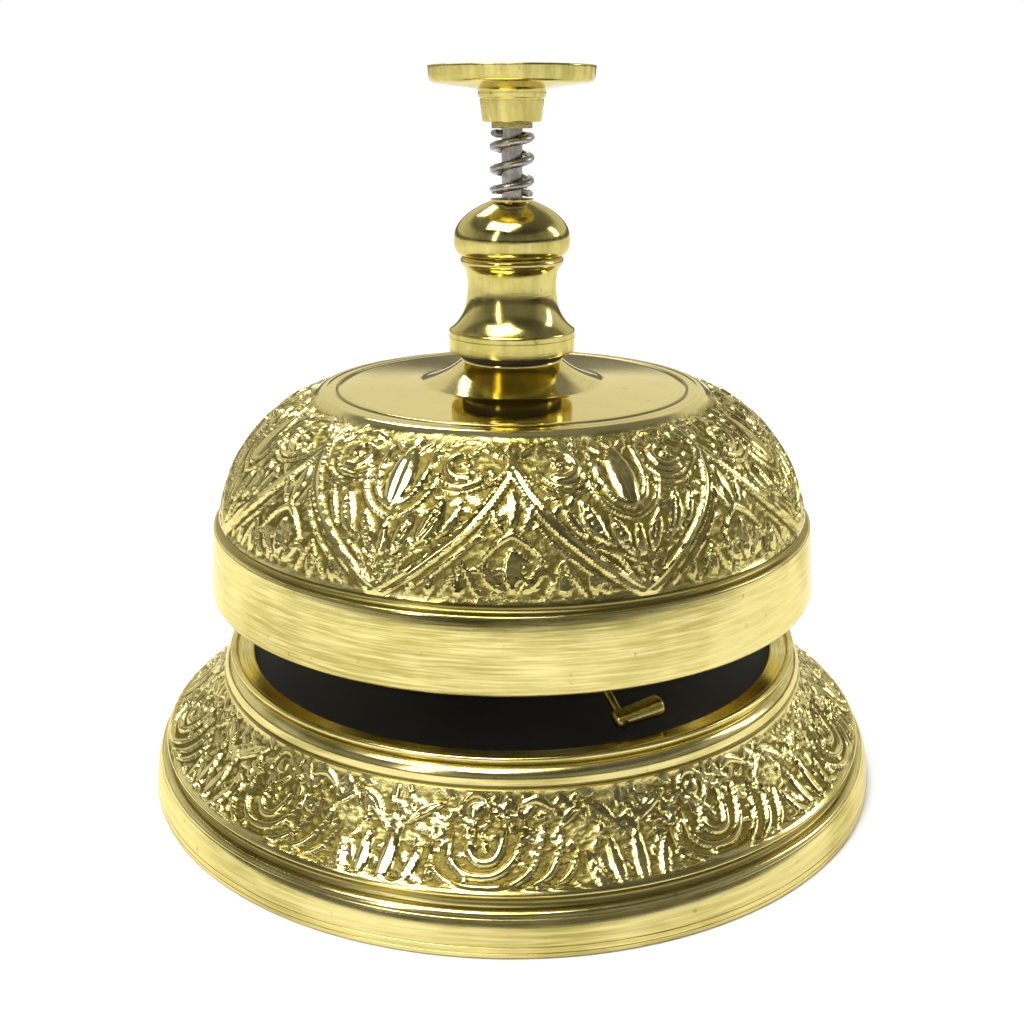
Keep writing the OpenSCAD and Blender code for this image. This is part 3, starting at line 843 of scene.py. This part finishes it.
def brushed(s, colour, amount):
    """Long streaks round the axis, in patches, and a darker skin of tarnish in the middle of each patch."""
    streaks = s.noise(s.turned(fine=4200, sweep=5), 1.0, 3, 0.65)
    patches = s.noise(s.turned(fine=60, sweep=2.6), 1.0, 3, 0.5)
    drawn = s.spread(patches, 0.36, 0.60, amount * 0.4, amount)
    streaked = s.mix(s.math("MULTIPLY", s.spread(streaks, 0.38, 0.60), drawn), colour, BRASS_DEEP)
    middles = s.spread(patches, 0.46, 0.66, 0.0, amount)
    skin = s.math("MULTIPLY", s.spread(streaks, 0.30, 0.66, 0.35, 1.0), middles)
    return s.mix(s.math("MULTIPLY", skin, 0.5), streaked, BRASS_OLIVE)


def brass_turned(name, line_depth=0.005, rough=0.09, age=0.6):
    """Turned brass: lathe lines, tarnish clouds and handling scuffs. age is the share of tarnish."""
    s = Shader(name)
    fine_lines = s.noise(s.turned(fine=5200, sweep=1.6), 1.0, 3, 0.7)
    broad_lines = s.noise(s.turned(fine=900, sweep=3.0), 1.0, 2)
    clouds = s.noise(s.coords, 90, 5, 0.6)
    blotches = s.noise(s.coords, 330, 4, 0.6)
    specks = s.noise(s.coords, 900, 2, 0.5)
    colour = s.mix(s.spread(clouds, 0.35, 0.65, age, 1.0), BRASS, BRASS_DEEP)
    colour = brushed(s, colour, age)
    upright = s.noise(s.stretched(0.16), 620, 3, 0.6)
    colour = s.mix(s.spread(upright, 0.46, 0.66, 0.0, age * 0.7), colour, BRASS_OLIVE)
    colour = s.mix(s.spread(blotches, 0.48, 0.70, 0.0, age * 0.45), colour, BRASS_OLIVE)
    colour = s.mix(s.spread(specks, 0.68, 0.76, 0.0, 0.5), colour, BRASS_SHADE_AND_FLAW)
    s.link(colour, s.surface.inputs["Base Color"])
    s.value("Metallic", 1.0)
    s.surface.inputs["Specular Tint"].default_value = (*BRASS_EDGE, 1)
    cloud_wear = s.spread(clouds, 0.35, 0.7, -0.03, 0.09)
    line_wear = s.spread(broad_lines, 0.3, 0.7, -0.02, 0.06)
    worn = s.math("ADD", cloud_wear, line_wear)
    s.link(s.math("ADD", worn, rough, clamp=True), s.surface.inputs["Roughness"])
    first = s.bump(fine_lines, line_depth)
    second = s.bump(broad_lines, line_depth * 2.2, below=first)
    s.link(second, s.surface.inputs["Normal"])
    return s.material


def brass_cast(name, line_depth=0.007, rough=0.15):
    """Cast brass: bright crests, brown painted shade in the recesses, a stippled ground, and lathe lines on
    the plain bands.
    """
    s = Shader(name)
    openness = s.attribute("openness")
    ground = s.attribute("ground")
    polish = s.attribute("polish")
    lines = s.noise(s.turned(fine=3600, sweep=2.2), 1.0, 3, 0.7)
    broad = s.noise(s.turned(fine=700, sweep=4.0), 1.0, 2)
    dimples = s.noise(s.coords, 3400, 3, 0.7)
    clouds = s.noise(s.coords, 70, 5, 0.6)
    colour = s.mix(s.spread(clouds, 0.45, 0.75, 0.0, 0.3), BRASS, BRASS_DEEP)
    dull_share = s.math("SUBTRACT", 1.0, polish)
    colour = s.mix(dull_share, colour, brushed(s, colour, 1.0))
    pits = s.math("MULTIPLY", s.spread(dimples, 0.44, 0.62), ground)
    colour = s.mix(s.math("MULTIPLY", pits, 0.5), colour, BRASS_OLIVE)
    # Painted shade: where the openness is low, in recesses and grooves, the colour is darkened towards
    # brown.
    hollow = s.spread(openness, 0.1, 0.44, 1.0, 0.0)
    colour = s.mix(hollow, colour, BRASS_SHADE_AND_FLAW)
    flaws = s.spread(s.noise(s.coords, 800, 2), 0.69, 0.77, 0.0, 0.5)
    colour = s.mix(flaws, colour, BRASS_SHADE_AND_FLAW)
    s.link(colour, s.surface.inputs["Base Color"])
    s.value("Metallic", 1.0)
    s.surface.inputs["Specular Tint"].default_value = (*BRASS_EDGE, 1)
    uneven = s.math("ADD", s.spread(clouds, 0.35, 0.7, -0.03, 0.07), s.math("MULTIPLY", ground, 0.08))
    dull = s.math("ADD", s.math("MULTIPLY", hollow, 0.2), uneven)
    base_rough = s.spread(polish, 0.0, 1.0, rough, 0.035)
    s.link(s.math("ADD", dull, base_rough, clamp=True), s.surface.inputs["Roughness"])
    first = s.bump(lines, line_depth, strength=0.6)
    second = s.bump(broad, line_depth, strength=0.6, below=first)
    third = s.bump(s.math("MULTIPLY", dimples, ground), 0.11, strength=0.8, below=second)
    s.link(third, s.surface.inputs["Normal"])
    return s.material


def steel(name, colour, dark, rough, grain_scale=500):
    """Plated or oiled steel with drawn streaks and dull patches."""
    s = Shader(name)
    streaks = s.noise(s.turned(fine=2500, sweep=8), 1.0, 3)
    clouds = s.noise(s.coords, grain_scale, 4, 0.6)
    share = s.spread(clouds, 0.35, 0.7, 0.0, 0.8)
    s.link(s.mix(share, colour, dark), s.surface.inputs["Base Color"])
    s.value("Metallic", 1.0)
    s.link(s.spread(clouds, 0.3, 0.7, rough - 0.06, rough + 0.12), s.surface.inputs["Roughness"])
    s.link(s.bump(streaks, 0.006, below=s.bump(clouds, 0.01, 0.4)), s.surface.inputs["Normal"])
    return s.material


def black_paint(name):
    """Satin black paint on sheet: slight orange peel, dust and rub marks."""
    s = Shader(name)
    peel = s.noise(s.coords, 1400, 2)
    dust = s.noise(s.coords, 5200, 2)
    clouds = s.noise(s.coords, 60, 5, 0.65)
    colour = s.mix(s.spread(clouds, 0.4, 0.8, 0.0, 1.0), (0.020, 0.019, 0.020), (0.040, 0.038, 0.038))
    colour = s.mix(s.spread(dust, 0.68, 0.76, 0.0, 0.5), colour, (0.06, 0.058, 0.052))
    s.link(colour, s.surface.inputs["Base Color"])
    s.value("Metallic", 0.0)
    s.value("Specular IOR Level", 0.3)
    s.link(s.spread(clouds, 0.3, 0.7, 0.5, 0.62), s.surface.inputs["Roughness"])
    s.link(s.bump(peel, 0.02, 0.5), s.surface.inputs["Normal"])
    return s.material


def fibre(name):
    """Pressed black fibre."""
    s = Shader(name)
    strands = s.noise(s.turned(fine=1500, sweep=30), 1.0, 4)
    clouds = s.noise(s.coords, 900, 4)
    s.link(s.mix(clouds, (0.006, 0.006, 0.006), (0.03, 0.028, 0.024)), s.surface.inputs["Base Color"])
    s.link(s.spread(clouds, 0.3, 0.7, 0.65, 0.85), s.surface.inputs["Roughness"])
    s.link(s.bump(strands, 0.02, 0.7), s.surface.inputs["Normal"])
    return s.material


def glowing_floor_paper(name):
    """Pale matte paper with painted light: it glows more the further out it lies, so that it fades into the
    white background.
    """
    s = Shader(name)
    fibres = s.noise(s.coords, 300, 5)
    s.link(s.mix(fibres, (0.90, 0.90, 0.89), (0.93, 0.93, 0.925)), s.surface.inputs["Base Color"])
    s.value("Roughness", 0.9)
    s.value("Specular IOR Level", 0.2)
    away = s.node("ShaderNodeVectorMath", operation="LENGTH")
    s.link(s.coords, away.inputs[0])
    # Painted light: emission that rises from nothing near the bell to nearly full strength a metre out.
    s.surface.inputs["Emission Color"].default_value = (1, 1, 1, 1)
    s.link(s.spread(away.outputs["Value"], 0.10, 1.0, 0.0, 0.95), s.surface.inputs["Emission Strength"])
    s.link(s.bump(fibres, 0.02, 0.2), s.surface.inputs["Normal"])
    return s.material


def wear(piece, material):
    """Gives a new piece its one material."""
    piece.data.materials.clear()
    piece.data.materials.append(material)


# ---------------------------------------------------------------- build

cast = brass_cast("cast_brass")
turned = brass_turned("turned_brass")
handled = brass_turned("handled_brass", line_depth=0.007, rough=0.18, age=0.85)
zinc = steel("zinc_steel", (0.62, 0.62, 0.60), (0.42, 0.42, 0.41), 0.3)
dark_steel = steel("dark_steel", (0.42, 0.39, 0.34), (0.13, 0.115, 0.10), 0.26, 700)
paint = black_paint("black_paint")
washer_black = fibre("black_fibre")

NEW_PIECES = (
    (bell_cup, "stand", "bell_cup", "cast_brass", cast),
    (base_ring, "stand", "base", "cast_brass", cast),
    (finial, "stand", "finial", "turned_brass", turned),
    (upper_washer, "stand", "upper_washer", "washer_black", washer_black),
    (knob, "plunger", "knob", "turned_brass", handled),
    (coil_spring, "stand", "plunger_spring", "spring_steel", dark_steel),
    (hammer_head, "hammer", "hammer_head", "turned_brass", handled),
    (hammer_arm, "hammer", "hammer_arm", "turned_brass", handled),
)
for build, body, node, slot, material in NEW_PIECES:
    piece = build()
    wear(piece, material)
    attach(piece, body)
    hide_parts(node)
    if node == "plunger_spring":
        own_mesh(piece)

SLOT_LOOKS = {
    "cast_brass": cast,
    "turned_brass": turned,
    "zinc_steel": zinc,
    "spring_steel": dark_steel,
    "black_plate": paint,
    "washer_black": washer_black,
}
for entry in frame["record"]["subparts"]:
    kept = NODES[entry["node"]]
    for index in range(len(kept.data.materials)):
        kept.data.materials[index] = SLOT_LOOKS[entry["material_slot"]]

# ---------------------------------------------------------------- studio


def studio_floor():
    """A pale round floor."""
    disc = Lathe()
    disc.row(0, 0, 1)
    disc.outline([(60, 0), (200, 0), (800, 0), (4000, 0)], 128)
    made = disc.make("floor", closed=False)
    made.data.flip_normals()
    wear(made, glowing_floor_paper("glowing_floor_paper"))


def soft_box(name, place, size, power, colour=(1, 1, 1)):
    """A soft light aimed at the bell's middle."""
    data = bpy.data.lights.new(name, "AREA")
    data.shape = "RECTANGLE"
    data.size, data.size_y = size
    data.energy = power
    data.color = colour
    made = bpy.data.objects.new(name, data)
    bpy.context.scene.collection.objects.link(made)
    made.location = place
    made.rotation_euler = (Vector((0, 0, 0.04)) - Vector(place)).to_track_quat("-Z", "Y").to_euler()


def studio_world():
    """White behind the bell. Reflections see a dim room with a pale wall beyond the bell."""
    world = bpy.data.worlds.new("studio")
    world.use_nodes = True
    bpy.context.scene.world = world
    tree = world.node_tree
    direction = tree.nodes.new("ShaderNodeTexCoord").outputs["Generated"]
    split = tree.nodes.new("ShaderNodeSeparateXYZ")
    tree.links.new(direction, split.inputs[0])
    ramp = tree.nodes.new("ShaderNodeValToRGB")
    tree.links.new(split.outputs[2], ramp.inputs[0])
    stops = ((0.0, 0.2), (0.13, 0.2), (0.17, 0.95), (0.5, 0.8), (0.62, 0.26), (0.9, 0.24), (1.0, 0.34))
    ramp.color_ramp.elements[0].position = stops[0][0]
    ramp.color_ramp.elements[1].position = stops[-1][0]
    for position, level in stops[1:-1]:
        ramp.color_ramp.elements.new(position)
    for element, (position, level) in zip(ramp.color_ramp.elements, stops):
        element.color = (level, level, level, 1)
    beyond = tree.nodes.new("ShaderNodeMapRange")
    tree.links.new(split.outputs[1], beyond.inputs["Value"])
    for socket, value in zip(RANGE_SOCKETS, (-0.5, 0.5, 0.3, 1.0)):
        beyond.inputs[socket].default_value = value
    dimmed = tree.nodes.new("ShaderNodeVectorMath")
    dimmed.operation = "SCALE"
    tree.links.new(ramp.outputs["Color"], dimmed.inputs[0])
    tree.links.new(beyond.outputs["Result"], dimmed.inputs["Scale"])
    seen = tree.nodes.new("ShaderNodeLightPath").outputs["Is Camera Ray"]
    choose = tree.nodes.new("ShaderNodeMix")
    choose.data_type = "RGBA"
    tree.links.new(seen, choose.inputs["Factor"])
    tree.links.new(dimmed.outputs[0], choose.inputs[6])
    choose.inputs[7].default_value = (1, 1, 1, 1)
    tree.links.new(choose.outputs[2], tree.nodes["Background"].inputs["Color"])
    tree.nodes["Background"].inputs["Strength"].default_value = 1.0


def camera():
    """The camera stands close in front, a little above the finial, and looks down."""
    distance, height, pitch, lens = 0.1473, 0.07885, 17.9, 43.95
    data = bpy.data.cameras.new("camera")
    data.lens, data.sensor_width = lens, 36
    data.clip_start = 0.01
    made = bpy.data.objects.new("camera", data)
    bpy.context.scene.collection.objects.link(made)
    made.location = (0, -distance, height)
    made.rotation_euler = (math.radians(90 - pitch), 0, 0)
    bpy.context.scene.camera = made


studio_floor()
studio_world()
soft_box("key", (-0.14, -0.18, 0.62), (0.46, 0.36), 4.4)
soft_box("strip", (-0.32, -0.46, 0.34), (0.06, 0.42), 0.8)
soft_box("back", (-0.12, 0.38, 0.50), (0.30, 0.15), 1.3)
soft_box("fill", (0.50, 0.10, 0.30), (0.10, 0.26), 0.6)
camera()
bpy.context.scene.view_settings.view_transform = "Standard"
